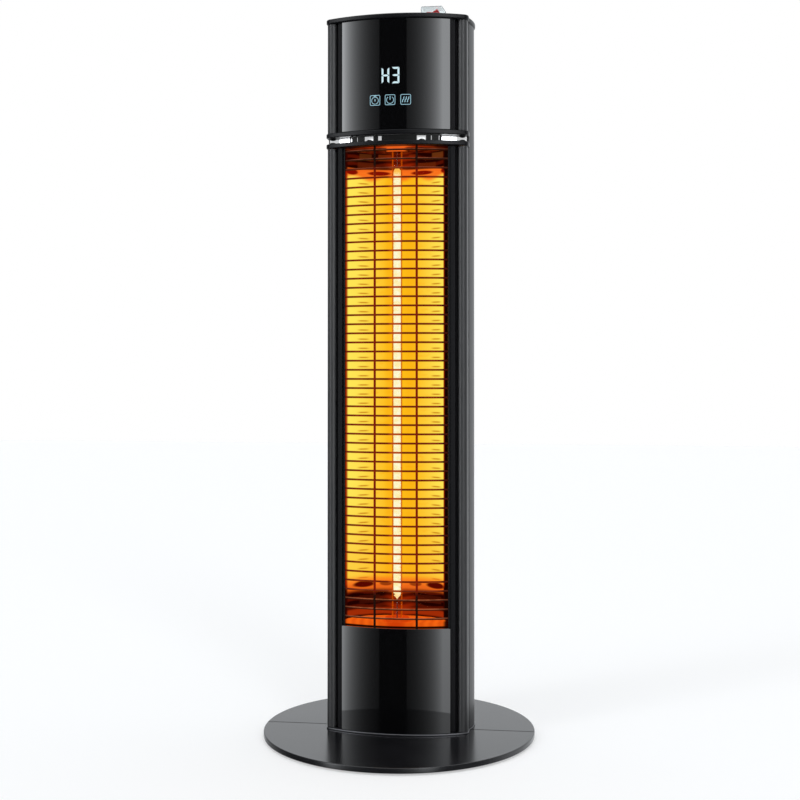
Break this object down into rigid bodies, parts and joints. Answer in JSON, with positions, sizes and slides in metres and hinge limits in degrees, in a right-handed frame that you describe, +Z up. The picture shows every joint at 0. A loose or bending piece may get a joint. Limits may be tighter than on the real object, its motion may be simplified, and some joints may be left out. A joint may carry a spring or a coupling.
{
  "type": "infrared patio heater",
  "caption": "Free-standing infrared tower heater: curved column with a wire-guarded quartz tube before a reflector, a glass-fronted head and a round plate base.",
  "frame": {"origin": "centre of the round base, at the bottom of its rubber pads", "axes": "+Z up the column, -Y out of the guarded front, +X to the side that carries the mains switch"},
  "size_m": [0.332, 0.332, 0.8919],
  "materials": {
    "satin": "satin black powder coat",
    "gloss": "black tempered glass, polished",
    "plastic": "matte black moulded plastic",
    "rubber": "matte black rubber",
    "bright": "polished bright",
    "zinc": "zinc plated, satin",
    "quartz": "clear fused quartz",
    "glowing": "glowing carbon spiral",
    "ceramic": "unglazed white ceramic",
    "red": "gloss red moulded plastic",
    "clear": "clear soft splash boot",
    "board": "green circuit board laminate"
  },
  "bodies": {
    "heater": {"base_front_half": "satin", "base_rear_half": "satin", "rubber_pad_front_right": "rubber", "rubber_pad_front_middle": "rubber", "rubber_pad_front_left": "rubber", "rubber_pad_rear_right": "rubber", "rubber_pad_rear_middle": "rubber", "rubber_pad_rear_left": "rubber", "base_screw_front_left": "zinc", "base_screw_rear_left": "zinc", "base_screw_front_right": "zinc", "base_screw_rear_right": "zinc", "foot_plate": "satin", "lower_post_left": "satin", "lower_post_right": "satin", "head_post_left": "satin", "head_post_right": "satin", "rear_shell": "satin", "cable_gland": "plastic", "body_top_plate": "satin", "head_bottom_plate": "satin", "top_cap": "satin", "neck_band": "bright", "neck_comb": "plastic", "body_corner_screw_left": "plastic", "head_corner_screw_left": "plastic", "neck_screw_left": "plastic", "rear_screw_foot_left": "zinc", "rear_screw_body_left": "zinc", "rear_screw_head_left": "zinc", "body_corner_screw_right": "plastic", "head_corner_screw_right": "plastic", "neck_screw_right": "plastic", "rear_screw_foot_right": "zinc", "rear_screw_body_right": "zinc", "rear_screw_head_right": "zinc", "head_glass": "gloss", "lower_glass": "gloss", "wire_guard": "satin", "reflector": "bright", "reflector_deck": "bright", "reflector_roof": "bright", "quartz_tube": "quartz", "tube_collar_bottom": "zinc", "tube_collar_top": "zinc", "ceramic_cap_bottom": "ceramic", "ceramic_cap_top": "ceramic", "heating_coil": "glowing", "heat_shield": "zinc", "thermal_cutout": "plastic", "wiring_sleeve": "rubber", "terminal_block": "plastic", "tilt_switch": "plastic", "power_board": "board", "display_board": "board", "switch_body": "plastic", "switch_boot": "clear"},
    "rocker": {"switch_rocker": "red"}
  },
  "joints": [
    {"name": "rocker_hinge", "type": "hinge", "parent": "heater", "child": "rocker", "pos_m": [0.0445, -0.007, 0.8778], "axis": [0, 1, 0], "range_deg": [0, 26]}
  ]
}
